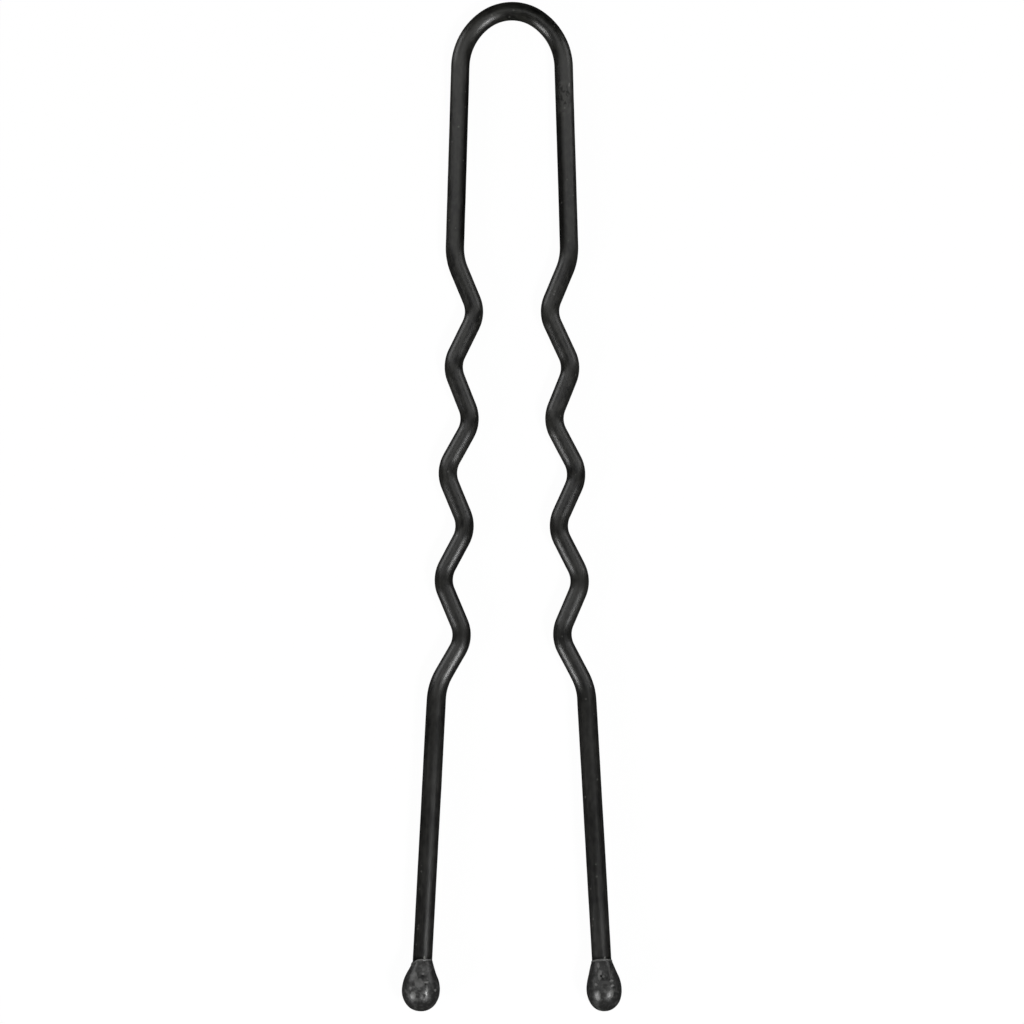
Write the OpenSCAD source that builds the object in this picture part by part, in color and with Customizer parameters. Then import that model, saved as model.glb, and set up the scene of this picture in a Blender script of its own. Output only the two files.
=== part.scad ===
// Waved hairpin: one length of round wire bent into a bow and two waved legs, with a resin bead
// on the end of each leg. It lies flat, bow towards +Y, resting on the undersides of the beads.

/* [Size] */
// Overall length, from the crown of the bow to the ends of the beads
overall_len = 65; // [56:0.5:80]
// Diameter of the bare steel wire
steel_d = 1.1; // [0.9:0.05:1.3]
// Thickness of the baked lacquer on the wire
lacquer_t = 0.03; // [0.01:0.01:0.08]

/* [Bow] */
// Radius of the crown, along the middle of the wire
crown_r = 2.95; // [2.4:0.05:4.5]
// Turn from the middle of the crown to each shoulder, in degrees
crown_turn = 35; // [15:1:60]
// Radius of each shoulder, along the middle of the wire
shoulder_r = 3.85; // [2.4:0.05:6]

/* [Shank] */
// Length of each shank, from the shoulder to the corner of the first bend
shank_len = 12.4; // [8:0.1:16]
// Outward lean of each shank, in degrees
shank_lean = 1.7; // [0:0.1:4]

/* [Wave] */
// Number of bends in each leg
bend_count = 9; // [3:1:11]
// Distance from the corner of one bend to the corner of the next
bend_pitch = 3.8; // [3.2:0.1:4.6]
// Slope of the stretches between bends to the wave's middle line, in degrees
wave_slope = 24.4; // [15:0.1:30]
// Outward lean of the wave's middle line, in degrees
wave_lean = 2.3; // [0:0.1:5]
// Radius of the bends inside the wave, along the middle of the wire
bend_r = 1.9; // [1:0.05:2.4]
// Radius of the first and the last bend, where the wave runs out
end_bend_r = 3.7; // [1.5:0.1:5]

/* [Tail] */
// Outward lean of each tail, in degrees
tail_lean = 3; // [0:0.1:6]

/* [Beads] */
// Largest diameter of each bead
bead_d = 2.35; // [1.8:0.05:3.2]
// Length of the rounded nose, from the bead's end to its widest place
nose_len = 1.36; // [1:0.02:1.8]
// Radius of the curve that draws the bead in above its widest place
bead_shoulder_r = 2.35; // [1:0.05:2.8]
// Slope of the taper that runs up to the collar, in degrees
taper_slope = 21.5; // [15:0.5:32]
// Thickness of the collar where the resin runs out on the wire
collar_t = 0.06; // [0.03:0.01:0.12]
// Length of the collar below its rounded lip
collar_len = 0.08; // [0.02:0.02:0.4]
// Depth that the wire reaches into the bead
grip_len = 2.3; // [1:0.1:2.6]
// Gap between the wire and the bead's bore, filled by the bond
bond_gap = 0.01; // [0.005:0.005:0.03]

/* [Hidden] */

lacquer_black = [0.17, 0.17, 0.165];
resin_black = [0.21, 0.21, 0.205];

// Facets round a bend or the wire, and round a bead
wire_facets = 24;
bead_facets = 48;

// The bends are drawn in decimetres and then enlarged to millimetres, so that the rounding of
// an angle leaves no step from one bend to the next
decimetre = 100;

wire_d = steel_d + 2 * lacquer_t;
bead_r = bead_d / 2;
bore_r = wire_d / 2 + bond_gap;

// Height of the middle of the wire above what the beads rest on
wire_z = bead_r;

// Middle of the crown's arc
crown_y = overall_len / 2 - wire_d / 2 - crown_r;

// Half of the bow: the crown's arc meets the shoulder's arc, which ends at the shank
shoulder_turn = 90 - crown_turn - shank_lean;
shoulder_centre = [0, crown_y] + (crown_r - shoulder_r) * [sin(crown_turn), cos(crown_turn)];
shank_top = shoulder_centre + shoulder_r * [cos(shank_lean), sin(shank_lean)];

// Outward lean of each straight stretch, from the shank down to the tail
leans = concat(
    [shank_lean],
    [for (i = [1:bend_count - 1]) wave_lean + (i % 2 == 0 ? wave_slope : -wave_slope)],
    [tail_lean]
);

// Direction of a stretch that leans outwards from the pin's length
function along(lean) = [sin(lean), -cos(lean)];

// Corner of bend i, where the straight stretches on its two sides would meet
function corner(i) =
    i == 1 ? shank_top + shank_len * along(shank_lean)
           : corner(i - 1) + bend_pitch * along(leans[i - 1]);

// The tail runs from the last corner to the bead's end
last_corner = corner(bend_count);
tail_len = (last_corner.y + overall_len / 2) / cos(tail_lean);
bead_end = last_corner + tail_len * along(tail_lean);

// Bend i of a leg: its turn, its radius, and how far before its corner it starts
function turn(i) = leans[i] - leans[i - 1];
function radius(i) = i == 1 || i == bend_count ? end_bend_r : bend_r;
function set_back(i) = radius(i) * tan(abs(turn(i)) / 2);

// Straight wire before bend i
function feed(i) = (i == 1 ? shank_len : bend_pitch - set_back(i - 1)) - set_back(i);

// A leg as a wire former takes it: feed the wire, then bend it to a radius through a turn
leg_steps = concat(
    [[0, shoulder_r, -shoulder_turn]],
    [for (i = [1:bend_count]) [feed(i), radius(i), turn(i)]]
);

// Bead: where the shoulder curve ends in the taper, and where the taper meets the collar
collar_r = bore_r + collar_t;
taper_top_r = bead_r - bead_shoulder_r * (1 - cos(taper_slope));
taper_len = (taper_top_r - collar_r) / tan(taper_slope);
collar_z = nose_len + bead_shoulder_r * sin(taper_slope) + taper_len;
lip_z = collar_z + collar_len;
bead_len = lip_z + collar_t;

// Straight wire after the last bend, down to the bottom of the bead's bore
last_feed = tail_len - set_back(bend_count) - (bead_len - grip_len);

// Straight wire, from the start of its own frame along +X
module stretch(len) {
    rotate([0, 90, 0])
        cylinder(d = wire_d / decimetre, h = len / decimetre, $fn = wire_facets);
}

// Bend that starts along +X and turns left for a positive turn, right for a negative one
module bend(radius, turn) {
    mirror([0, turn < 0 ? 1 : 0, 0])
        translate([0, radius / decimetre, 0])
            rotate([0, 0, -90])
                rotate_extrude(angle = abs(turn), $fn = 2 * wire_facets)
                    translate([radius / decimetre, 0])
                        circle(d = wire_d / decimetre, $fn = wire_facets);
}

// Carries what follows to the end of a bend, and turns it the way that the wire now points
module after_bend(radius, turn) {
    side = sign(turn) * radius / decimetre;
    translate([0, side, 0])
        rotate([0, 0, turn])
            translate([0, -side, 0])
                children();
}

// Feeds and bends the wire step by step, each step carried on from the end of the one before
module form(steps, last, i = 0) {
    if (i == len(steps)) {
        stretch(last);
    } else {
        if (steps[i][0] > 0)
            stretch(steps[i][0]);
        translate([steps[i][0] / decimetre, 0, 0]) {
            bend(steps[i][1], steps[i][2]);
            after_bend(steps[i][1], steps[i][2])
                form(steps, last, i + 1);
        }
    }
}

// The whole wire, formed outwards from the two ends of the crown
module bent_wire() {
    color(lacquer_black)
        translate([0, crown_y, wire_z])
            scale(decimetre)
                rotate([0, 0, crown_turn])
                    translate([0, crown_r / decimetre, 0]) {
                        bend(crown_r, -2 * crown_turn);
                        mirror([1, 0, 0])
                            form(leg_steps, last_feed);
                        after_bend(crown_r, -2 * crown_turn)
                            form(leg_steps, last_feed);
                    }
}

// Half outline of a bead with its blind bore, from the nose up to the lip of the collar
function bead_outline() = concat(
    [for (a = [0:6:90]) [bead_r * sin(a), nose_len * (1 - cos(a))]],
    [for (i = [1:4])
        let (a = taper_slope * i / 4)
            [bead_r - bead_shoulder_r * (1 - cos(a)), nose_len + bead_shoulder_r * sin(a)]],
    [[collar_r, collar_z]],
    [for (a = [0:30:90]) [bore_r + collar_t * cos(a), lip_z + collar_t * sin(a)]],
    [[bore_r, bead_len - grip_len], [0, bead_len - grip_len]]
);

// Teardrop of resin over the end of the wire, for the leg on the +X side
module bead() {
    color(resin_black)
        translate([bead_end.x, bead_end.y, wire_z])
            rotate([0, 0, tail_lean])
                rotate([-90, 0, 0])
                    rotate_extrude($fn = bead_facets)
                        polygon(bead_outline());
}

module right_bead() {
    bead();
}

module left_bead() {
    mirror([1, 0, 0])
        bead();
}

bent_wire();
left_bead();
right_bead();
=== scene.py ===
from collections import namedtuple
from math import atan2, cos, exp, hypot, pi, radians, sin, tan

import bmesh
import bpy
from bpy.props import FloatProperty, FloatVectorProperty, IntProperty, PointerProperty
from mathutils import Matrix, Vector, noise


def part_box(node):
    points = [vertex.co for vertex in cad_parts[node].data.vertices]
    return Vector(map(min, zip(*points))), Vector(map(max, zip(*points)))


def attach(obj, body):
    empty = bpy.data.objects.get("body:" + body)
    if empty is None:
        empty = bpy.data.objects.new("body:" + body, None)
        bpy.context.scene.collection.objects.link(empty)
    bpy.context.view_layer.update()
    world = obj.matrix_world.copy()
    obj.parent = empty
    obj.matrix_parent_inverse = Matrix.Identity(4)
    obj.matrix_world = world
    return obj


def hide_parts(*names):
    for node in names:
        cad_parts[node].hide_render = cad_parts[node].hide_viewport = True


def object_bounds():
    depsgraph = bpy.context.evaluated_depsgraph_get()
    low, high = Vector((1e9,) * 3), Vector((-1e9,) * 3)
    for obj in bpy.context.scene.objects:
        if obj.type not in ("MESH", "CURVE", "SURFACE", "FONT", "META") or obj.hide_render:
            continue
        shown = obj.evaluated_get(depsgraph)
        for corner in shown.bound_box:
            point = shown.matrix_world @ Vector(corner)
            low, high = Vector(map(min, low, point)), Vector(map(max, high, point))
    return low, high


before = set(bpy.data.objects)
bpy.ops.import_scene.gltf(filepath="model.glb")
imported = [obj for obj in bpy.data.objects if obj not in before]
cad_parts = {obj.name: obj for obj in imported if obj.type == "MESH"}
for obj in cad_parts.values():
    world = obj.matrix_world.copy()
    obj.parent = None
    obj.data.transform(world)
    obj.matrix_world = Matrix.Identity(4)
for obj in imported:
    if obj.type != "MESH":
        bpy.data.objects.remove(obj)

bl_info = {
    "name": "Waved Hairpin",
    "version": (1, 0, 0),
    "blender": (4, 5, 0),
    "location": "View3D > Sidebar > Hairpin",
    "description": "Models a lacquered wire hairpin with waved legs and resin beads, on a pale table",
    "category": "Add Mesh",
}

MM = 0.001
QUARTER_TURN = Matrix.Rotation(pi / 2, 3, "Z")

# Sizes that come from the solids. The pin lies along Y, with its bow up and its legs down
CAD_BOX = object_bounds()
WIRE_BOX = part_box("bent_wire")
BEAD_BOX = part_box("right_bead")
PIN_TIP_Y = CAD_BOX[0].y
PIN_CROWN_Y = CAD_BOX[1].y
WIRE_DIAMETER = WIRE_BOX[1].z - WIRE_BOX[0].z
WIRE_HEIGHT = (WIRE_BOX[1].z + WIRE_BOX[0].z) / 2
BEAD_DIAMETER = BEAD_BOX[1].z - BEAD_BOX[0].z

# What the meshes pass on to the materials
UV_NAME = "wire_unrolled"
FILM_EDGE = "film_edge"


def length_setting(name, description, default_mm, low_mm, high_mm):
    """A length for the sidebar, given in millimetres and kept in metres."""
    return FloatProperty(
        name=name,
        description=description,
        default=default_mm * MM,
        min=low_mm * MM,
        max=high_mm * MM,
        precision=5,
        unit="LENGTH",
    )


def angle_setting(name, description, default_degrees, low_degrees, high_degrees):
    """An angle for the sidebar, given in degrees."""
    return FloatProperty(
        name=name,
        description=description,
        default=radians(default_degrees),
        min=radians(low_degrees),
        max=radians(high_degrees),
        unit="ROTATION",
    )


def count_setting(name, description, default, low, high):
    """A whole number."""
    return IntProperty(
        name=name, description=description, default=default, min=low, max=high, subtype="UNSIGNED"
    )


def share_setting(name, description, default, high=1.0):
    """A number from nothing to all, or to a few times as much."""
    return FloatProperty(
        name=name, description=description, default=default, min=0.0, max=high, subtype="FACTOR"
    )


def colour_setting(name, description, default):
    """A colour, in linear red, green and blue."""
    return FloatVectorProperty(
        name=name, description=description, default=default, min=0.0, max=1.0, size=3, subtype="COLOR"
    )


class HairpinWireSettings(bpy.types.PropertyGroup):
    """Sizes and colours of the formed wire."""

    crown_radius: length_setting(
        "Crown Radius", "Radius of the crown, along the middle of the wire", 2.95, 2, 5
    )
    crown_turn: angle_setting(
        "Crown Turn", "Turn from the middle of the crown to a shoulder", 35, 15, 60
    )
    shoulder_radius: length_setting(
        "Shoulder Radius", "Radius of the bow's two shoulders", 3.85, 2, 6
    )
    shank_length: length_setting(
        "Shank Length", "From the shoulder to the corner of the first bend", 12.4, 8, 16
    )
    shank_lean: angle_setting("Shank Lean", "Outward lean of the two shanks", 1.7, 0, 4)
    bend_count: count_setting("Bends", "Number of bends in each leg", 9, 3, 9)
    bend_pitch: length_setting(
        "Bend Pitch", "Distance from one bend's corner to the next", 3.8, 3.2, 4.6
    )
    wave_slope: angle_setting("Wave Slope", "Slope of the wave's straight stretches", 24.4, 15, 30)
    wave_lean: angle_setting("Wave Lean", "Outward lean of the wave's middle line", 2.3, 0, 5)
    bend_radius: length_setting("Bend Radius", "Radius of the bends inside the wave", 1.95, 1, 2.4)
    end_bend_radius: length_setting(
        "End Bend Radius", "Radius of the first and the last bend", 3.7, 1.5, 5
    )
    tail_lean: angle_setting("Tail Lean", "Outward lean of the two tails", 3, 0, 6)
    coat: length_setting("Coat", "Extra lacquer all along the wire", 0.016, 0, 0.03)
    tail_coat: length_setting(
        "Tail Coat", "Further lacquer on the tails, where the pin hung to drip", 0.032, 0, 0.05
    )
    unevenness: length_setting(
        "Unevenness", "Height of the slow swells in the lacquer", 0.009, 0, 0.05
    )
    ring_spacing: length_setting(
        "Ring Spacing", "Distance between rings of the mesh", 0.16, 0.05, 1
    )
    ring_sides: count_setting("Ring Sides", "Sides round the wire", 48, 12, 96)
    lacquer: colour_setting("Lacquer", "Baked black lacquer", (0.0015, 0.0015, 0.0014))
    bloom: colour_setting(
        "Bloom", "Greyer lacquer where it has cured thin", (0.026, 0.0257, 0.0222)
    )
    scuff: colour_setting("Scuff", "Lacquer that is scuffed grey", (0.095, 0.095, 0.088))


class HairpinBeadSettings(bpy.types.PropertyGroup):
    """Sizes and colours of the two resin beads."""

    nose_length: length_setting(
        "Nose Length", "From the bead's end to its widest place", 1.36, 1, 1.8
    )
    shoulder_radius: length_setting(
        "Shoulder Radius", "Curve that draws the bead in above its widest place", 2.35, 1, 3
    )
    taper_slope: angle_setting("Taper Slope", "Slope of the taper up to the collar", 21.5, 15, 32)
    collar_thickness: length_setting(
        "Collar Thickness", "Where the resin runs out on the wire", 0.05, 0.03, 0.12
    )
    collar_length: length_setting(
        "Collar Length", "Collar below its rounded lip", 0.08, 0.02, 0.4
    )
    grip_length: length_setting(
        "Grip Length", "Depth that the wire reaches into the bead", 2.3, 1, 2.6
    )
    left_width: length_setting(
        "Left Bead Width", "Width of the left bead, which took more resin", 2.46, 1.8, 3.2
    )
    right_width: length_setting("Right Bead Width", "Width of the right bead", 2.27, 1.8, 3.2)
    left_sag: length_setting(
        "Left Bead Sag", "How far the left bead hangs outwards of its wire", -0.05, -0.1, 0.1
    )
    right_sag: length_setting(
        "Right Bead Sag", "How far the right bead hangs outwards of its wire", 0.05, -0.1, 0.1
    )
    lumps: length_setting("Lumps", "Height of the lumps in the resin", 0.022, 0, 0.1)
    turns: count_setting("Sides", "Sides round a bead", 144, 24, 256)
    resin: colour_setting("Resin", "Black resin", (0.014, 0.014, 0.0135))
    # The haze grey is also the colour of the highlights and glints painted on the beads
    haze: colour_setting("Haze", "Grey haze where the resin cured rough", (0.15, 0.15, 0.146))


class HairpinStageSettings(bpy.types.PropertyGroup):
    """Light, table and camera."""

    view_width: length_setting(
        "View Width", "Width of the table that the camera sees", 66.0, 40, 200
    )
    aim_height: length_setting(
        "Aim", "How far above the pin's middle the camera aims", -0.36, -5, 5
    )
    lens: FloatProperty(
        name="Lens", description="Focal length", default=135.0, min=20.0, max=300.0, unit="CAMERA"
    )
    table: colour_setting(
        "Table", "Colour of the table, before its glow", (0.035, 0.035, 0.035)
    )
    table_glow: share_setting(
        "Table Glow", "White that the camera sees on top of the table's own shade", 0.968
    )
    mirrored_glow: share_setting(
        "Mirrored Glow", "The same glow as the wire and the beads mirror it", 0.015
    )
    lamp_level: share_setting("Lamp Level", "Level of all lamps together", 1.0, high=4.0)
    ambient: share_setting("Ambient", "Level of the room's even light", 0.02, high=2.0)


# How far single bends have strayed from the regular wave, outwards and up the pin, in millimetres.
# Bends are counted from the shank, and the tip is the end of the tail
LEFT_STRAYS = {
    1: (0.01, 0), 2: (0, 0.05), 3: (-0.03, 0.05), 5: (0.11, 0.15), 6: (0.05, 0.05), 7: (0.1, 0.15),
    8: (-0.05, -0.1), 9: (0.05, 0.2), "tip": (0.095, -0.03),
}
RIGHT_STRAYS = {
    2: (0, 0.1), 3: (-0.06, -0.05), 4: (-0.01, 0.05), 5: (0.1, 0), 6: (-0.02, 0.1), 7: (0.03, 0.05),
    8: (-0.065, 0), 9: (-0.04, 0.1), "tip": (0.065, -0.03),
}

# Dents and drips in each bead: outwards, up from the nose, reach and height, in millimetres
LEFT_MARKS = [
    (-0.36, 1.83, 0.11, -0.05), (-0.10, 2.54, 0.12, -0.025), (0.40, 2.0, 0.34, 0.03),
    (0.62, 1.5, 0.16, -0.035), (-0.84, 1.42, 0.12, 0.03), (-0.15, 1.1, 0.16, -0.03),
]
RIGHT_MARKS = [
    (0.02, 1.72, 0.27, -0.06), (-0.35, 2.5, 0.14, 0.045), (-0.08, 2.38, 0.13, -0.05),
    (0.5, 2.02, 0.12, 0.035), (0.5, 1.75, 0.12, 0.035), (-0.55, 1.78, 0.15, -0.035),
]

# How far the film of resin has climbed the wire on each bead, in millimetres: all round, what is added on
# top, and what is added on the outward side
LEFT_CLIMB = (0.26, 0.0, -0.4)
RIGHT_CLIMB = (0.085, 0.18, 0.0)

# The scuffed patch and the small chip on the right shank, and the grey drop of resin just above each bead's
# collar: place and reach, in millimetres
SCUFF = ((3.3, 26.3, 1.75), (0.85, 1.3, 0.9))
CHIP = ((3.68, 27.12, 1.75), (0.07, 0.16, 0.9))
DROPS = [((-5.63, -29.05, 1.75), (0.1, 0.2, 0.9)), ((5.98, -29.06, 1.75), (0.09, 0.16, 0.9))]

# Haze, painted highlights and glints, and dark pits of painted shade on the top of the beads: place across
# and up the pin,
#  reach across and up, and strength, which is negative for a pit; lengths in millimetres
HAZE_HIGHLIGHT_AND_SHADE_SPOTS = [
    ((-6.21, -30.20), (0.18, 0.34), 0.55),
    ((-5.98, -30.60), (0.40, 0.36), 0.55),
    ((-6.35, -31.38), (0.24, 0.34), 0.65),
    ((-5.48, -31.02), (0.11, 0.38), 0.8),
    ((-5.72, -30.02), (0.12, 0.08), 1.0),
    ((-5.49, -30.54), (0.20, 0.07), 1.0),
    ((-5.52, -30.36), (0.20, 0.15), 0.35),
    ((-4.93, -31.10), (0.09, 0.11), 0.9),
    ((-6.50, -30.95), (0.10, 0.16), 0.5),
    ((-6.00, -31.65), (0.28, 0.16), 0.3),
    ((5.57, -29.50), (0.11, 0.24), 0.75),
    ((5.63, -30.10), (0.14, 0.42), 0.65),
    ((5.52, -31.40), (0.19, 0.40), 0.65),
    ((6.39, -31.25), (0.18, 0.32), 0.65),
    ((6.42, -30.45), (0.17, 0.09), 1.0),
    ((6.44, -30.78), (0.17, 0.10), 1.0),
    ((5.40, -30.70), (0.12, 0.14), 0.6),
    ((5.86, -30.18), (0.12, 0.10), 0.7),
    ((-5.49, -30.67), (0.13, 0.08), -0.9),
    ((-5.72, -30.16), (0.13, 0.07), -0.5),
    ((6.26, -29.8), (0.16, 0.6), -0.5),
    ((-6.32, -30.66), (0.13, 0.18), -0.5),
    ((-5.95, -31.08), (0.17, 0.10), -0.5),
    ((5.73, -30.15), (0.10, 0.11), -0.8),
    ((5.98, -30.80), (0.20, 0.20), -0.45),
    ((5.95, -30.42), (0.22, 0.07), -0.4),
]
BEAD_SPOT_HEIGHT = 2.3
BEAD_SPOT_DEPTH = 4.0
SMALL_SPOT_AREA = 0.015


def along(lean):
    """Direction of wire that runs down the right leg and leans outwards."""
    return Vector((sin(lean), -cos(lean), 0))


def shank_top(wire):
    """End of the right shoulder, where the shank starts."""
    crown_middle = PIN_CROWN_Y - WIRE_DIAMETER / 2 - wire.crown_radius
    shoulder_middle = Vector((0, crown_middle, 0))
    shoulder_middle += (wire.crown_radius - wire.shoulder_radius) * Vector(
        (sin(wire.crown_turn), cos(wire.crown_turn), 0)
    )
    return shoulder_middle + wire.shoulder_radius * Vector((cos(wire.shank_lean), sin(wire.shank_lean), 0))


def leg_corners(wire, strays):
    """Corners of the right leg's bends, from the shank's top to where the tail ends in its bead."""
    corner = shank_top(wire)
    corners = [corner.copy()]
    corner = corner + wire.shank_length * along(wire.shank_lean)
    for bend in range(1, wire.bend_count + 1):
        out, up = strays.get(bend, (0, 0))
        corners.append(corner + Vector((out, up, 0)) * MM)
        slope = -wire.wave_slope if bend % 2 else wire.wave_slope
        if bend < wire.bend_count:
            corner = corner + wire.bend_pitch * along(wire.wave_lean + slope)
    tail = (corner.y - PIN_TIP_Y) / cos(wire.tail_lean)
    out, up = strays.get("tip", (0, 0))
    corners.append(corner + tail * along(wire.tail_lean) + Vector((out, up, 0)) * MM)
    return corners


def lean_between(start, end):
    """Outward lean of the straight wire from one corner to the next."""
    return atan2(end.x - start.x, start.y - end.y)


def leg_steps(wire, corners):
    """The leg as a wire former makes it: lengths to feed, each with the bend after it."""
    steps = []
    set_back = 0.0
    for i in range(1, len(corners) - 1):
        before = lean_between(corners[i - 1], corners[i])
        after = lean_between(corners[i], corners[i + 1])
        radius = wire.end_bend_radius if i in (1, wire.bend_count) else wire.bend_radius
        reach = radius * tan(abs(after - before) / 2)
        steps.append(((corners[i] - corners[i - 1]).length - set_back - reach, radius, after - before))
        set_back = reach
    return steps, (corners[-1] - corners[-2]).length - set_back


class WireFormer:
    """Draws a ring of wire along its path, one feed or bend at a time, and notes each point's place."""

    def __init__(self, bm, ring, start, side, spacing, notes):
        self.bm = bm
        self.ring = ring
        self.place = start.copy()
        self.side = side
        self.angle = 0.0 if side > 0 else pi
        self.spacing = spacing
        self.run = 0.0
        self.notes = notes

    def direction(self, angle=None):
        """Where the wire heads now, or at another angle."""
        turned = self.angle if angle is None else angle
        return Vector((cos(turned), sin(turned), 0))

    def spin(self, place_of, **how):
        """Carries the last ring on by a spin, and notes run, middle and outside of each new point."""
        before = len(self.bm.verts)
        made = bmesh.ops.spin(
            self.bm, geom=self.ring, axis=(0, 0, 1), use_merge=False, use_duplicate=False, **how
        )
        kinds = (bmesh.types.BMVert, bmesh.types.BMEdge)
        self.ring = [part for part in made["geom_last"] if isinstance(part, kinds)]
        self.bm.verts.ensure_lookup_table()
        for vert in self.bm.verts[before:]:
            run, middle, angle = place_of(vert.co)
            outside = QUARTER_TURN @ self.direction(angle) * self.side
            self.notes[vert] = (self.side * run, middle, outside)

    def feed(self, length):
        """Feeds straight wire."""
        if length <= 0:
            raise ValueError("The bends are too close together for their radius")
        steps = max(1, round(length / self.spacing))
        heading = self.direction()
        start, run, angle = self.place.copy(), self.run, self.angle

        def place_of(point):
            fed = (point - start).dot(heading)
            return run + fed, start + heading * fed, angle

        self.spin(place_of, cent=start, dvec=heading * length / steps, angle=0, steps=steps)
        self.place += heading * length
        self.run += length

    def bend(self, radius, turn):
        """Bends the wire to a radius. A positive turn is to the outside of the pin."""
        turn *= self.side
        steps = max(2, round(abs(turn) * radius / self.spacing))
        to_centre = QUARTER_TURN @ self.direction() * (radius if turn > 0 else -radius)
        centre = self.place + to_centre
        run, angle = self.run, self.angle

        def place_of(point):
            arm = Vector((point.x, point.y, 0)) - Vector((centre.x, centre.y, 0))
            turned = atan2((-to_centre).cross(arm).z, (-to_centre).dot(arm))
            middle = centre + arm.normalized() * radius
            return run + abs(turned) * radius, middle, angle + turned

        self.spin(place_of, cent=centre, dvec=(0, 0, 0), angle=turn, steps=steps)
        self.place = centre + Matrix.Rotation(turn, 3, "Z") @ -to_centre
        self.angle += turn
        self.run += abs(turn) * radius


def smooth_step(start, end, value):
    """Rises softly from 0 at the start to 1 at the end, which may lie on either side."""
    share = min(max((value - start) / (end - start), 0.0), 1.0)
    return share * share * (3 - 2 * share)


def finish_piece(bm, name, body, stands_for):
    """Makes a mesh object of a finished piece, at the origin and with its faces outwards."""
    bmesh.ops.recalc_face_normals(bm, faces=bm.faces)
    for face in bm.faces:
        face.smooth = True
    mesh = bpy.data.meshes.new(name)
    bm.to_mesh(mesh)
    bm.free()
    piece = bpy.data.objects.new(name, mesh)
    bpy.context.scene.collection.objects.link(piece)
    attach(piece, body)
    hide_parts(stands_for)
    return piece


def feed_socket(tree, socket, value):
    """Links another node's output to a socket, or gives the socket a value."""
    if isinstance(value, bpy.types.NodeSocket):
        tree.links.new(value, socket)
    else:
        socket.default_value = value


def add_node(tree, kind, settings=None, **inputs):
    """A node with its settings and its inputs. An input goes by its name, or by its number as in _0."""
    node = tree.nodes.new(kind)
    for key, value in (settings or {}).items():
        setattr(node, key, value)
    for key, value in inputs.items():
        socket = node.inputs[int(key[1:])] if key[0] == "_" else node.inputs[key.replace("_", " ")]
        feed_socket(tree, socket, value)
    return node


def maths(tree, operation, first, second=0.0):
    """A Math node's result."""
    return add_node(tree, "ShaderNodeMath", {"operation": operation}, _0=first, _1=second).outputs[0]


def product(tree, *values):
    """The product of values, from the last to the first."""
    result = values[-1]
    for value in reversed(values[:-1]):
        result = maths(tree, "MULTIPLY", value, result)
    return result


def total(tree, *values):
    """The sum of values, from the first to the last."""
    result = values[0]
    for value in values[1:]:
        result = maths(tree, "ADD", result, value)
    return result


def largest(tree, *values):
    """The largest of values."""
    result = values[0]
    for value in values[1:]:
        result = maths(tree, "MAXIMUM", result, value)
    return result


def rest_of(tree, share):
    """What a share leaves of 1."""
    return maths(tree, "SUBTRACT", 1.0, share)


def span(tree, value, low, high, out_low, out_high, kind="LINEAR"):
    """A value carried from one range to another, and held inside it."""
    return add_node(
        tree, "ShaderNodeMapRange", {"interpolation_type": kind},
        _0=value, _1=low, _2=high, _3=out_low, _4=out_high,
    ).outputs["Result"]


def vectors(tree, operation, first, second):
    """A Vector Math node's vector."""
    settings = {"operation": operation}
    return add_node(tree, "ShaderNodeVectorMath", settings, _0=first, _1=second).outputs[0]


def one_axis(tree, vector, axis):
    """A vector's X, Y or Z."""
    return add_node(tree, "ShaderNodeSeparateXYZ", Vector=vector).outputs[axis]


def blend_colours(tree, share, first, second):
    """A colour between two, by share. Each is a link, or red, green and blue."""
    node = add_node(tree, "ShaderNodeMix", {"data_type": "RGBA"})
    feed_socket(tree, node.inputs[0], share)
    for index, colour in ((6, first), (7, second)):
        linked = isinstance(colour, bpy.types.NodeSocket)
        feed_socket(tree, node.inputs[index], colour if linked else (*colour, 1.0))
    return node.outputs[2]


def new_group(name, inputs, outputs):
    """An empty node group with named inputs and outputs."""
    tree = bpy.data.node_groups.new(name, "ShaderNodeTree")
    for label, kind, default in inputs:
        socket = tree.interface.new_socket(name=label, in_out="INPUT", socket_type=kind)
        if default is not None:
            socket.default_value = default
    for label in outputs:
        tree.interface.new_socket(name=label, in_out="OUTPUT", socket_type="NodeSocketFloat")
    return tree, tree.nodes.new("NodeGroupInput").outputs, tree.nodes.new("NodeGroupOutput").inputs


def speck_group():
    """Dust specks and pits: small round spots, few and uneven."""
    name = "Specks and Pits"
    if name in bpy.data.node_groups:
        return bpy.data.node_groups[name]
    tree, given, result = new_group(
        name,
        [("Vector", "NodeSocketVector", None), ("Per Metre", "NodeSocketFloat", 3000.0),
         ("Size", "NodeSocketFloat", 0.2), ("Share", "NodeSocketFloat", 0.2)],
        ["Mask", "Pit"],
    )
    cells = add_node(
        tree, "ShaderNodeTexVoronoi", {"feature": "F1"},
        Vector=given["Vector"], Scale=given["Per Metre"], Randomness=1.0,
    )
    chance = add_node(tree, "ShaderNodeSeparateColor", Color=cells.outputs["Color"]).outputs[0]
    picked = maths(tree, "LESS_THAN", chance, given["Share"])
    inside = rest_of(tree, maths(tree, "DIVIDE", cells.outputs["Distance"], given["Size"]))
    spot = product(tree, largest(tree, inside, 0.0), picked)
    tree.links.new(maths(tree, "MINIMUM", product(tree, spot, 2.0), 1.0), result["Mask"])
    tree.links.new(product(tree, spot, -1.0), result["Pit"])
    return tree


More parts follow.
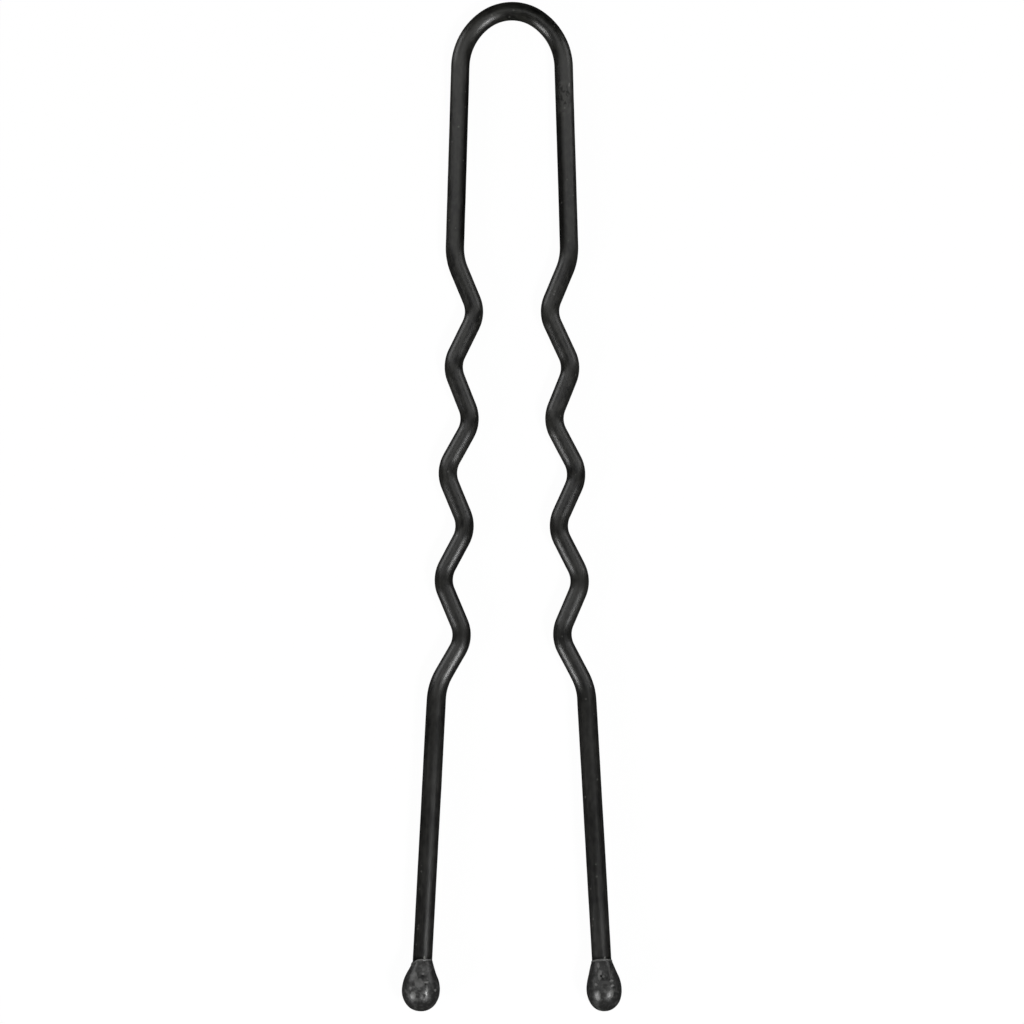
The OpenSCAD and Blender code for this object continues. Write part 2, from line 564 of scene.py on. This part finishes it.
def mottle_group():
    """Soft cloudy patches with uneven edges."""
    name = "Mottle"
    if name in bpy.data.node_groups:
        return bpy.data.node_groups[name]
    tree, given, result = new_group(
        name,
        [("Vector", "NodeSocketVector", None), ("Per Metre", "NodeSocketFloat", 500.0),
         ("Low", "NodeSocketFloat", 0.45), ("High", "NodeSocketFloat", 0.65)],
        ["Mask", "Height"],
    )
    cloud = add_node(
        tree, "ShaderNodeTexNoise",
        Vector=given["Vector"], Scale=given["Per Metre"], Detail=3.0, Roughness=0.55, Distortion=0.6,
    ).outputs["Fac"]
    mask = span(tree, cloud, given["Low"], given["High"], 0.0, 1.0, kind="SMOOTHSTEP")
    tree.links.new(mask, result["Mask"])
    tree.links.new(cloud, result["Height"])
    return tree


def spot_group():
    """A soft round or oval spot round one place, in metres."""
    name = "Soft Spot"
    if name in bpy.data.node_groups:
        return bpy.data.node_groups[name]
    tree, given, result = new_group(
        name,
        [("Vector", "NodeSocketVector", None), ("Place", "NodeSocketVector", None),
         ("Reach", "NodeSocketVector", None), ("Core", "NodeSocketFloat", 0.5)],
        ["Mask"],
    )
    apart = vectors(tree, "SUBTRACT", given["Vector"], given["Place"])
    shares = vectors(tree, "DIVIDE", apart, given["Reach"])
    length = add_node(tree, "ShaderNodeVectorMath", {"operation": "LENGTH"}, _0=shares).outputs["Value"]
    mask = span(tree, length, given["Core"], 1.0, 1.0, 0.0, kind="SMOOTHSTEP")
    tree.links.new(mask, result["Mask"])
    return tree


def use_group(tree, group, **inputs):
    """A group node's outputs, with its input values or links."""
    return add_node(tree, "ShaderNodeGroup", {"node_tree": group}, **inputs).outputs


def spot_at(tree, vector, place, reach, core=0.5):
    """A soft spot's mask, with its place and reach in millimetres."""
    return use_group(
        tree, spot_group(), Vector=vector,
        Place=tuple(c * MM for c in place), Reach=tuple(c * MM for c in reach), Core=core,
    )["Mask"]


def stretched(tree, vector, scale, turn=0.0):
    """A pattern's coordinates, turned in the pin's plane and stretched."""
    return add_node(
        tree, "ShaderNodeMapping", {"vector_type": "POINT"},
        Vector=vector, Rotation=(0, 0, turn), Scale=scale,
    ).outputs[0]


def wandering(tree, vector, reach, per_metre):
    """Coordinates that wander a little, so that the edge of a spot is uneven."""
    cloud = add_node(tree, "ShaderNodeTexNoise", Vector=vector, Scale=per_metre, Detail=2.0)
    centred = vectors(tree, "SUBTRACT", cloud.outputs["Color"], (0.5, 0.5, 0.5))
    return vectors(tree, "ADD", vector, vectors(tree, "MULTIPLY", centred, (reach, reach, reach)))


def unrolled_place(tree, wire_length):
    """Each point's place on the wire as it was before it was bent, in metres, from the wire's UV map."""
    uv = add_node(tree, "ShaderNodeUVMap", {"uv_map": UV_NAME}).outputs["UV"]
    turned = product(tree, one_axis(tree, uv, "X"), 2 * pi)
    return add_node(
        tree, "ShaderNodeCombineXYZ",
        X=product(tree, maths(tree, "COSINE", turned), WIRE_DIAMETER / 2),
        Y=product(tree, maths(tree, "SINE", turned), WIRE_DIAMETER / 2),
        Z=product(tree, one_axis(tree, uv, "Y"), wire_length),
    ).outputs[0]


def new_material(name):
    """A material that holds only its output."""
    material = bpy.data.materials.new(name)
    material.use_nodes = True
    material.node_tree.nodes.clear()
    return material, material.node_tree, material.node_tree.nodes.new("ShaderNodeOutputMaterial")


def scuff_masks(tree, objects):
    """The scuff on the right shank: its dark blotches, and the lighter edges round them."""
    scuffed = spot_at(tree, wandering(tree, objects, 0.5 * MM, 1500.0), *SCUFF, core=0.45)
    slanted = stretched(tree, objects, (1.3, 0.7, 1), turn=radians(-35))
    mottle = use_group(tree, mottle_group(), Vector=slanted, Per_Metre=3600.0, Low=0.33, High=0.62)
    blotch = product(tree, mottle["Mask"], scuffed)
    edge = product(tree, product(tree, blotch, rest_of(tree, blotch)), 0.9)
    return blotch, edge


def grey_marks(tree, objects):
    """The chip on the right shank, and the drop of resin above each bead."""
    marks = [spot_at(tree, wandering(tree, objects, 0.08 * MM, 6000.0), *CHIP)]
    marks += [spot_at(tree, objects, *drop) for drop in DROPS]
    return largest(tree, *marks)


def inner_shade_mask(tree, place, objects, patches):
    """Painted shade on the shanks' inner sides, reaching a little further on the right: there the lacquer
    is made black and loses its gloss.
    """
    inward = maths(tree, "DIVIDE", one_axis(tree, place, "X"), WIRE_DIAMETER / 2)
    by_leg = span(tree, one_axis(tree, objects, "X"), -1 * MM, 1 * MM, -0.02, 0.06)
    reach = total(tree, inward, by_leg, span(tree, patches["Height"], 0.3, 0.7, -0.15, 0.15))
    up = one_axis(tree, objects, "Y")
    above_waves = span(tree, up, 15 * MM, 17.5 * MM, 0.0, 1.0)
    below_bow = span(tree, up, 27 * MM, 29.5 * MM, 1.0, 0.0)
    return product(tree, product(tree, span(tree, reach, 0.2, 0.65, 0.0, 0.66), above_waves), below_bow)


def lacquer_material(wire, wire_length):
    """Baked black lacquer over drawn wire: satin, with lengthwise drawing lines, pits and a scuff, and with
    painted shade on the shanks' inner sides and above each bead's collar.
    """
    material, tree, output = new_material("satin black lacquer")
    place = unrolled_place(tree, wire_length)
    objects = add_node(tree, "ShaderNodeTexCoord").outputs["Object"]
    up = one_axis(tree, objects, "Y")
    lines = add_node(
        tree, "ShaderNodeTexNoise",
        Vector=stretched(tree, place, (1, 1, 0.03)), Scale=9000.0, Detail=3.0, Roughness=0.6,
    ).outputs["Fac"]
    patches = use_group(
        tree, mottle_group(),
        Vector=stretched(tree, place, (1, 1, 0.35)), Per_Metre=700.0, Low=0.38, High=0.66,
    )
    grain = use_group(
        tree, mottle_group(),
        Vector=stretched(tree, place, (1, 1, 0.55)), Per_Metre=3600.0, Low=0.38, High=0.64,
    )
    specks = use_group(tree, speck_group(), Vector=place, Per_Metre=2600.0, Size=0.22, Share=0.15)
    blotch, edge = scuff_masks(tree, objects)
    # Painted shadow: a dark band on the wire just above each bead's collar
    collar_shadow = span(tree, up, -29.04 * MM, -28.86 * MM, 0.5, 0.0)
    # Painted shade on the inner sides of the shanks
    inner_shade = inner_shade_mask(tree, place, objects, patches)
    # Painted shade and the scuff's dark blotches: the lacquer goes to its blackest there and, through
    # Metallic, mirrors almost nothing
    shade_and_scuff = largest(tree, inner_shade, product(tree, blotch, 0.58), collar_shadow)

    # The pin's mottle grows from the tails towards the bow
    bow_mottle = span(tree, up, -12 * MM, 15 * MM, 0.5, 1.1)
    mottled = product(tree, patches["Mask"], bow_mottle, 0.38)
    grained = product(tree, grain["Mask"], bow_mottle, 0.42)
    lined = product(tree, span(tree, lines, 0.5, 0.75, 0.0, 1.0), 0.4)
    light = largest(tree, product(tree, specks["Mask"], 0.5), edge, grey_marks(tree, objects))
    colour = blend_colours(tree, mottled, wire.lacquer, wire.bloom)
    colour = blend_colours(tree, grained, colour, wire.bloom)
    colour = blend_colours(tree, lined, colour, wire.bloom)
    colour = blend_colours(tree, shade_and_scuff, colour, wire.lacquer)
    colour = blend_colours(tree, light, colour, wire.scuff)
    roughness = total(
        tree, span(tree, lines, 0.3, 0.7, 0.30, 0.34), product(tree, patches["Mask"], 0.04),
        span(tree, grain["Height"], 0.35, 0.65, -0.015, 0.015),
    )
    height = total(tree, product(tree, lines, 0.5), specks["Pit"], product(tree, grain["Height"], 0.25))
    height = maths(tree, "SUBTRACT", height, blotch)
    bump = add_node(tree, "ShaderNodeBump", Strength=0.5, Distance=0.0035 * MM, Height=height)
    tangent = add_node(tree, "ShaderNodeTangent", {"direction_type": "UV_MAP", "uv_map": UV_NAME})
    surface = add_node(
        tree, "ShaderNodeBsdfPrincipled",
        Base_Color=colour, Roughness=roughness, Metallic=shade_and_scuff, IOR=1.5, Anisotropic=0.65,
        Normal=bump.outputs[0], Tangent=tangent.outputs[0],
    )
    tree.links.new(surface.outputs[0], output.inputs["Surface"])
    return material


def haze_highlights_and_pit_shade(tree, objects):
    """The haze spots, the painted highlights and glints among them, and the painted shade of the dark pits
    on the beads. Only the large bright spots have uneven edges.
    """
    uneven = wandering(tree, objects, 0.22 * MM, 2600.0)
    spots, pits = [0.0], [0.0]
    # Bright spots are haze, painted highlights and glints; a negative one paints the shade of a pit
    for (x, y), (reach_x, reach_y), strength in HAZE_HIGHLIGHT_AND_SHADE_SPOTS:
        vector = uneven if strength > 0 and reach_x * reach_y > SMALL_SPOT_AREA else objects
        spot = spot_at(tree, vector, (x, y, BEAD_SPOT_HEIGHT), (reach_x, reach_y, BEAD_SPOT_DEPTH), core=0.6)
        (spots if strength > 0 else pits).append(product(tree, spot, abs(strength)))
    return largest(tree, *spots), largest(tree, *pits)


def resin_material(beads):
    """Dipped black resin: satin under a thin gloss, mottled with haze, and pitted, with highlights and
    glints painted in the haze grey and painted shade in the pits.
    """
    material, tree, output = new_material("dipped black resin")
    objects = add_node(tree, "ShaderNodeTexCoord").outputs["Object"]
    # Haze with painted highlights and glints, and the painted shade of the pits
    spots, pits = haze_highlights_and_pit_shade(tree, objects)
    haze = use_group(tree, mottle_group(), Vector=objects, Per_Metre=1700.0, Low=0.5, High=0.68)
    fine = use_group(tree, mottle_group(), Vector=objects, Per_Metre=5600.0, Low=0.4, High=0.7)
    specks = use_group(tree, speck_group(), Vector=objects, Per_Metre=2200.0, Size=0.2, Share=0.25)
    film_edge = add_node(tree, "ShaderNodeAttribute", {"attribute_name": FILM_EDGE}).outputs["Fac"]
    # The painted highlights and glints share the haze grey
    haze_and_glint_share = largest(
        tree, product(tree, spots, 0.8), product(tree, haze["Mask"], 0.24), product(tree, film_edge, 0.55)
    )
    haze_and_glint_share = total(tree, haze_and_glint_share, span(tree, fine["Mask"], 0.0, 1.0, -0.06, 0.15))
    haze_and_glint_share = product(tree, haze_and_glint_share, rest_of(tree, pits))
    colour = blend_colours(tree, haze_and_glint_share, beads.resin, beads.haze)
    roughness = total(
        tree, span(tree, haze["Height"], 0.3, 0.7, 0.33, 0.43), product(tree, fine["Mask"], 0.06)
    )
    height = total(tree, product(tree, fine["Height"], 0.65), specks["Pit"])
    bump = add_node(tree, "ShaderNodeBump", Strength=0.6, Distance=0.016 * MM, Height=height)
    # Metallic on the pits makes their painted shade mirror almost nothing
    surface = add_node(
        tree, "ShaderNodeBsdfPrincipled",
        Base_Color=colour, Roughness=roughness, Metallic=pits, IOR=1.5, Normal=bump.outputs[0],
        Coat_Weight=0.07, Coat_Roughness=0.16,
    )
    tree.links.new(surface.outputs[0], output.inputs["Surface"])
    return material


def lay_lacquer(wire, notes):
    """Adds the coat of lacquer to the bare wire, thicker on the tails and with slow swells."""
    waves_end = leg_corners(wire, {})[-2].y
    thickening = 1.5 * MM
    for vert, (run, middle, outside) in notes.items():
        arm = vert.co - middle
        hang = smooth_step(waves_end + thickening, waves_end - thickening, vert.co.y)
        swell = noise.noise(Vector((arm.x * 600, run * 260, arm.z * 600)) + Vector((3.1, 0, 7.7)))
        ripple = noise.noise(Vector((arm.x * 1500, run * 900, arm.z * 1500)))
        coat = wire.coat + wire.tail_coat * hang
        vert.co += arm.normalized() * (coat + wire.unevenness * (swell + 0.4 * ripple))


def unroll_uvs(bm, notes, wire_length):
    """Lays the wire's faces out flat: round the wire across, and along the wire up."""
    layer = bm.loops.layers.uv.new(UV_NAME)
    for face in bm.faces:
        rounds = []
        for loop in face.loops:
            run, middle, outside = notes[loop.vert]
            arm = loop.vert.co - middle
            rounds.append(atan2(arm.z, arm.dot(outside)) / (2 * pi) + 0.5)
        wraps = max(rounds) - min(rounds) > 0.5
        for loop, share in zip(face.loops, rounds):
            if wraps and share < 0.5:
                share += 1.0
            loop[layer].uv = (share, 0.5 + notes[loop.vert][0] / wire_length)


class HAIRPIN_OT_wire(bpy.types.Operator):
    """Forms the wire: the bow, then each leg's shank, bends and tail."""

    bl_idname = "hairpin.wire"
    bl_label = "Form Wire"

    def execute(self, context):
        wire = context.scene.hairpin_wire
        beads = context.scene.hairpin_beads
        bare_end = bead_profile_length(wire, beads) - beads.grip_length
        bm = bmesh.new()
        start = Vector((0, PIN_CROWN_Y - WIRE_DIAMETER / 2, WIRE_HEIGHT))
        facing = Matrix.Translation(start) @ Matrix.Rotation(pi / 2, 4, "Y")
        bmesh.ops.create_circle(
            bm, cap_ends=False, radius=WIRE_DIAMETER / 2, segments=wire.ring_sides, matrix=facing
        )
        first_ring = list(bm.verts) + list(bm.edges)
        notes = {vert: (0.0, start, Vector((0, 1, 0))) for vert in bm.verts}
        half_length = 0.0
        for side, strays in ((1, RIGHT_STRAYS), (-1, LEFT_STRAYS)):
            former = WireFormer(bm, first_ring, start, side, wire.ring_spacing, notes)
            former.bend(wire.crown_radius, -wire.crown_turn)
            former.bend(wire.shoulder_radius, wire.crown_turn + wire.shank_lean - pi / 2)
            steps, last = leg_steps(wire, leg_corners(wire, strays))
            for length, radius, turn in steps:
                former.feed(length)
                former.bend(radius, turn)
            former.feed(last - bare_end)
            rim = [part for part in former.ring if isinstance(part, bmesh.types.BMEdge)]
            bmesh.ops.contextual_create(bm, geom=rim)
            half_length = max(half_length, former.run)

        lay_lacquer(wire, notes)
        wire_length = 2 * half_length
        unroll_uvs(bm, notes, wire_length * 1.001)
        piece = finish_piece(bm, "formed_wire", "root", "bent_wire")
        piece.data.materials.append(lacquer_material(wire, wire_length))
        return {"FINISHED"}


def bore_radius(wire):
    """Radius of a bead's blind bore, just wider than the lacquered end of the wire."""
    clearance = 0.018 * MM
    return WIRE_DIAMETER / 2 + wire.coat + wire.tail_coat + clearance


def bead_profile_length(wire, beads):
    """Length of a bead, from its nose to the lip of its collar."""
    bead_radius = BEAD_DIAMETER / 2
    collar_radius = WIRE_DIAMETER / 2 + wire.coat + wire.tail_coat + beads.collar_thickness
    taper_top = bead_radius - beads.shoulder_radius * (1 - cos(beads.taper_slope))
    taper = (taper_top - collar_radius) / tan(beads.taper_slope)
    return (
        beads.nose_length + beads.shoulder_radius * sin(beads.taper_slope) + taper
        + beads.collar_length + beads.collar_thickness
    )


def collar_start(wire, beads):
    """Distance from a bead's nose to where its taper ends and its collar starts."""
    return bead_profile_length(wire, beads) - beads.collar_length - beads.collar_thickness


class Lathe:
    """Draws half of a bead's outline from its last point on, and then turns it."""

    def __init__(self, tip):
        self.bm = bmesh.new()
        self.last = [self.bm.verts.new(tip)]

    def place(self):
        """The place of the outline's last point."""
        return self.last[0].co

    def spin(self, **how):
        """Carries the last point on."""
        made = bmesh.ops.spin(
            self.bm, geom=self.last, axis=(0, 1, 0), use_merge=False, use_duplicate=False, **how
        )
        self.last = [part for part in made["geom_last"] if isinstance(part, bmesh.types.BMVert)]

    def arc(self, centre, turn, steps):
        """Draws an arc round a centre."""
        self.spin(cent=centre, dvec=(0, 0, 0), angle=turn, steps=steps)

    def line(self, across, up, steps):
        """Draws a straight line."""
        self.spin(cent=(0, 0, 0), dvec=(across / steps, 0, up / steps), angle=0, steps=steps)

    def turn(self, sides):
        """Turns the whole outline about the bead's axis."""
        bmesh.ops.spin(
            self.bm, geom=list(self.bm.verts) + list(self.bm.edges), cent=(0, 0, 0), axis=(0, 0, 1),
            dvec=(0, 0, 0), angle=2 * pi, steps=sides, use_merge=True, use_duplicate=False,
        )
        bmesh.ops.remove_doubles(self.bm, verts=self.bm.verts, dist=0.0005 * MM)
        return self.bm


def draw_bead(wire, beads):
    """Turns a bead with a blind bore, nose at the origin and axis along +Z, as on a lathe."""
    radius = BEAD_DIAMETER / 2
    nose = beads.nose_length
    bluntness = 0.9
    lip_drop = 0.02 * MM
    lathe = Lathe((0, 0, nose - radius))
    lathe.arc((0, 0, nose), -pi / 2, steps=36)
    for vert in lathe.bm.verts:
        vert.co.x = radius * max(vert.co.x / radius, 0.0) ** bluntness
        vert.co.z = nose + (vert.co.z - nose) * nose / radius
    lathe.arc((radius - beads.shoulder_radius, 0, nose), -beads.taper_slope, steps=16)
    rise = collar_start(wire, beads) - lathe.place().z
    lathe.line(-rise * tan(beads.taper_slope), rise, steps=20)
    lathe.line(0, beads.collar_length, steps=3)
    lathe.arc((lathe.place().x - beads.collar_thickness, 0, lathe.place().z), -pi / 2, steps=5)
    lathe.line(bore_radius(wire) - lathe.place().x, -lip_drop, steps=1)
    bore_end = bead_profile_length(wire, beads) - beads.grip_length
    lathe.line(0, bore_end - lathe.place().z, steps=12)
    lathe.line(-lathe.place().x, 0, steps=3)
    return lathe.turn(beads.turns)


Bead = namedtuple("Bead", "name stands_for side strays marks climb")

BEADS = (
    Bead("left_dipped_bead", "left_bead", -1, LEFT_STRAYS, LEFT_MARKS, LEFT_CLIMB),
    Bead("right_dipped_bead", "right_bead", 1, RIGHT_STRAYS, RIGHT_MARKS, RIGHT_CLIMB),
)


def climbed_film(bead, outward, top):
    """How far the film of resin has climbed on one side of the wire."""
    all_round, on_top, on_outside = bead.climb
    return (all_round + on_top * top + on_outside * max(outward, 0.0) ** 2) * MM


def lumps_and_marks(beads, bead, place, belly):
    """How far the resin's lumps, dents and drips push a point of the bead out."""
    push = beads.lumps * belly * noise.noise(place * 900 + Vector((bead.side * 5.3, 2.1, 0.4)))
    push += 0.35 * beads.lumps * noise.noise(place * 2300 + Vector((bead.side * 1.7, 9.2, 4.4)))
    if place.y > 0:
        for out, up, reach, height in bead.marks:
            apart = hypot(place.x - out * MM, place.z - up * MM) / (reach * MM)
            push += height * MM * exp(-apart * apart)
    return push


def wear_bead(bm, wire, beads, bead):
    """Gives a turned bead its own width, sag, lumps and marks, and lets its film climb the wire."""
    width = beads.left_width if bead.side < 0 else beads.right_width
    sag = beads.left_sag if bead.side < 0 else beads.right_sag
    widening = width / BEAD_DIAMETER - 1
    bore = bore_radius(wire) + 0.001 * MM
    collar = collar_start(wire, beads)
    film_edge = bm.verts.layers.float.new(FILM_EDGE)
    for vert in bm.verts:
        across = hypot(vert.co.x, vert.co.y)
        if across == 0:
            continue
        climbed = climbed_film(bead, vert.co.x / across, vert.co.y / across)
        climbed *= smooth_step(collar - 0.8 * MM, collar + 0.05 * MM, vert.co.z)
        in_bore = across <= bore and vert.co.z > beads.nose_length / 2
        if not in_bore:
            vert[film_edge] = smooth_step(collar, collar + 0.5 * beads.collar_length, vert.co.z)
            belly = smooth_step(collar, collar - 1.2 * MM, vert.co.z)
            outwards = Vector((vert.co.x, vert.co.y, 0)).normalized()
            push = outwards * lumps_and_marks(beads, bead, vert.co, belly)
            vert.co.x = (vert.co.x + push.x) * (1 + widening * belly) + sag * belly
            vert.co.y += push.y
        vert.co.z += climbed


def seat_bead(bm, wire, bead):
    """Sets a bead on the end of its leg, in line with the tail."""
    corners = leg_corners(wire, bead.strays)
    axis = (corners[-1] - corners[-2]).normalized()
    outwards = Vector((-axis.y, axis.x, 0))
    turn = Matrix((outwards, (0, 0, 1), -axis)).transposed().to_4x4()
    place = Matrix.Translation(Vector((corners[-1].x, corners[-1].y, WIRE_HEIGHT))) @ turn
    bmesh.ops.transform(bm, matrix=place, verts=bm.verts)
    if bead.side < 0:
        bmesh.ops.scale(bm, vec=(-1, 1, 1), verts=bm.verts)


class HAIRPIN_OT_beads(bpy.types.Operator):
    """Dips a bead of resin over the end of each leg."""

    bl_idname = "hairpin.beads"
    bl_label = "Dip Beads"

    def execute(self, context):
        wire = context.scene.hairpin_wire
        beads = context.scene.hairpin_beads
        resin = resin_material(beads)
        for bead in BEADS:
            bm = draw_bead(wire, beads)
            wear_bead(bm, wire, beads, bead)
            seat_bead(bm, wire, bead)
            piece = finish_piece(bm, bead.name, "root", bead.stands_for)
            piece.data.materials.append(resin)
        return {"FINISHED"}


# Soft lamps: name, direction from the pin, distance, width and depth in metres, and level on the table
LAMPS = (
    ("lamp lower right", (0.46, -0.42, 0.78), 0.28, 0.05, 0.05, 0.40),
    ("lamp lower left", (-0.73, -0.51, 0.45), 0.28, 0.075, 0.075, 0.165),
    ("lamp upper left", (-0.85, 0.47, 0.24), 0.28, 0.13, 0.13, 0.052),
    ("lamp upper right", (0.85, 0.38, 0.36), 0.28, 0.11, 0.11, 0.047),
    ("strip lamp overhead", (-0.04, 0.22, 1.0), 0.50, 1.2, 0.13, 0.235),
)


def softbox(name, toward, distance, width, depth, level):
    """A soft lamp that faces the pin. A white table in a level of 1 shows as white."""
    direction = Vector(toward).normalized()
    across = Vector((0, 1, 0)).cross(direction).normalized()
    lamp = bpy.data.lights.new(name, "AREA")
    lamp.shape = "RECTANGLE"
    lamp.size = width
    lamp.size_y = depth
    lamp.energy = 4 * pi * level * distance * distance / direction.z
    holder = bpy.data.objects.new(name, lamp)
    holder.location = direction * distance
    holder.rotation_euler = Matrix((across, direction.cross(across), direction)).transposed().to_euler()
    holder.visible_camera = False
    bpy.context.scene.collection.objects.link(holder)


def table_material(stage):
    """Pale table: its own shade keeps the pin's shadow, and a glow lifts it to white."""
    material, tree, output = new_material("pale table")
    objects = add_node(tree, "ShaderNodeTexCoord").outputs["Object"]
    grain = add_node(tree, "ShaderNodeTexNoise", Vector=objects, Scale=900.0, Detail=2.0).outputs["Fac"]
    darker = tuple(c * 0.985 for c in stage.table)
    colour = blend_colours(tree, span(tree, grain, 0.3, 0.7, 0.0, 1.0), stage.table, darker)
    shade = add_node(tree, "ShaderNodeBsdfDiffuse", Color=colour)
    rays = add_node(tree, "ShaderNodeLightPath").outputs
    mirrored = total(tree, rays["Is Glossy Ray"], rays["Is Transmission Ray"])
    glow_level = total(
        tree, product(tree, rays["Is Camera Ray"], stage.table_glow),
        product(tree, mirrored, stage.mirrored_glow),
    )
    glow = add_node(tree, "ShaderNodeEmission", Color=(1, 1, 1, 1), Strength=glow_level)
    both = add_node(tree, "ShaderNodeAddShader", _0=shade.outputs[0], _1=glow.outputs[0])
    tree.links.new(both.outputs[0], output.inputs["Surface"])
    return material


def lay_table(stage):
    """Lays the table against the bow and the beads, which hold the flat pin at a slight tilt."""
    half_size = 1.5
    gap = 0.02 * MM
    bead_rest = Vector((0, BEAD_BOX[0].y + BEAD_DIAMETER / 2, 0))
    bow_underside = WIRE_HEIGHT - WIRE_DIAMETER / 2
    tilt = atan2(bow_underside, PIN_CROWN_Y - WIRE_DIAMETER / 2 - bead_rest.y)
    bm = bmesh.new()
    bmesh.ops.create_grid(bm, x_segments=2, y_segments=2, size=half_size)
    bmesh.ops.rotate(bm, cent=bead_rest, matrix=Matrix.Rotation(tilt, 3, "X"), verts=bm.verts)
    bmesh.ops.translate(bm, vec=(0, 0, -gap), verts=bm.verts)
    mesh = bpy.data.meshes.new("table")
    bm.to_mesh(mesh)
    bm.free()
    table = bpy.data.objects.new("table", mesh)
    bpy.context.scene.collection.objects.link(table)
    table.data.materials.append(table_material(stage))


def light_room(stage):
    """The room's even light, and the white that the camera sees beyond the table."""
    world = bpy.data.worlds.new("even room light")
    world.use_nodes = True
    tree = world.node_tree
    tree.nodes.clear()
    rays = add_node(tree, "ShaderNodeLightPath").outputs
    strength = span(tree, rays["Is Camera Ray"], 0.0, 1.0, stage.ambient, 1.0)
    light = add_node(tree, "ShaderNodeBackground", Color=(1, 1, 1, 1), Strength=strength)
    end = tree.nodes.new("ShaderNodeOutputWorld")
    tree.links.new(light.outputs[0], end.inputs["Surface"])
    bpy.context.scene.world = world


def set_camera(stage):
    """A long lens that looks straight down on the pin."""
    lens = bpy.data.cameras.new("camera")
    lens.lens = stage.lens
    lens.sensor_width = 36.0
    camera = bpy.data.objects.new("camera", lens)
    distance = stage.view_width * stage.lens / lens.sensor_width
    middle = (CAD_BOX[0] + CAD_BOX[1]) / 2
    camera.location = (middle.x, middle.y + stage.aim_height, WIRE_HEIGHT + distance)
    bpy.context.scene.collection.objects.link(camera)
    bpy.context.scene.camera = camera


class HAIRPIN_OT_stage(bpy.types.Operator):
    """Sets the pin on a pale table under soft lamps, seen from straight above."""

    bl_idname = "hairpin.stage"
    bl_label = "Set Stage"

    def execute(self, context):
        stage = context.scene.hairpin_stage
        lay_table(stage)
        for *lamp, level in LAMPS:
            softbox(*lamp, level * stage.lamp_level)
        light_room(stage)
        set_camera(stage)
        context.scene.view_settings.view_transform = "Standard"
        return {"FINISHED"}


class HAIRPIN_PT_sidebar(bpy.types.Panel):
    """Lists the steps that make the hairpin, with their settings."""

    bl_idname = "HAIRPIN_PT_sidebar"
    bl_label = "Waved Hairpin"
    bl_space_type = "VIEW_3D"
    bl_region_type = "UI"
    bl_category = "Hairpin"

    def draw(self, context):
        scene = context.scene
        for operator, settings in (
            (HAIRPIN_OT_wire, scene.hairpin_wire),
            (HAIRPIN_OT_beads, scene.hairpin_beads),
            (HAIRPIN_OT_stage, scene.hairpin_stage),
        ):
            box = self.layout.box()
            for name in settings.__annotations__:
                box.prop(settings, name)
            box.operator(operator.bl_idname)


CLASSES = (
    HairpinWireSettings,
    HairpinBeadSettings,
    HairpinStageSettings,
    HAIRPIN_OT_wire,
    HAIRPIN_OT_beads,
    HAIRPIN_OT_stage,
    HAIRPIN_PT_sidebar,
)


def register():
    for cls in CLASSES:
        bpy.utils.register_class(cls)
    bpy.types.Scene.hairpin_wire = PointerProperty(type=HairpinWireSettings)
    bpy.types.Scene.hairpin_beads = PointerProperty(type=HairpinBeadSettings)
    bpy.types.Scene.hairpin_stage = PointerProperty(type=HairpinStageSettings)


def unregister():
    del bpy.types.Scene.hairpin_stage
    del bpy.types.Scene.hairpin_beads
    del bpy.types.Scene.hairpin_wire
    for cls in reversed(CLASSES):
        bpy.utils.unregister_class(cls)


def main():
    register()
    bpy.ops.hairpin.wire()
    bpy.ops.hairpin.beads()
    bpy.ops.hairpin.stage()


if __name__ == "__main__":
    main()
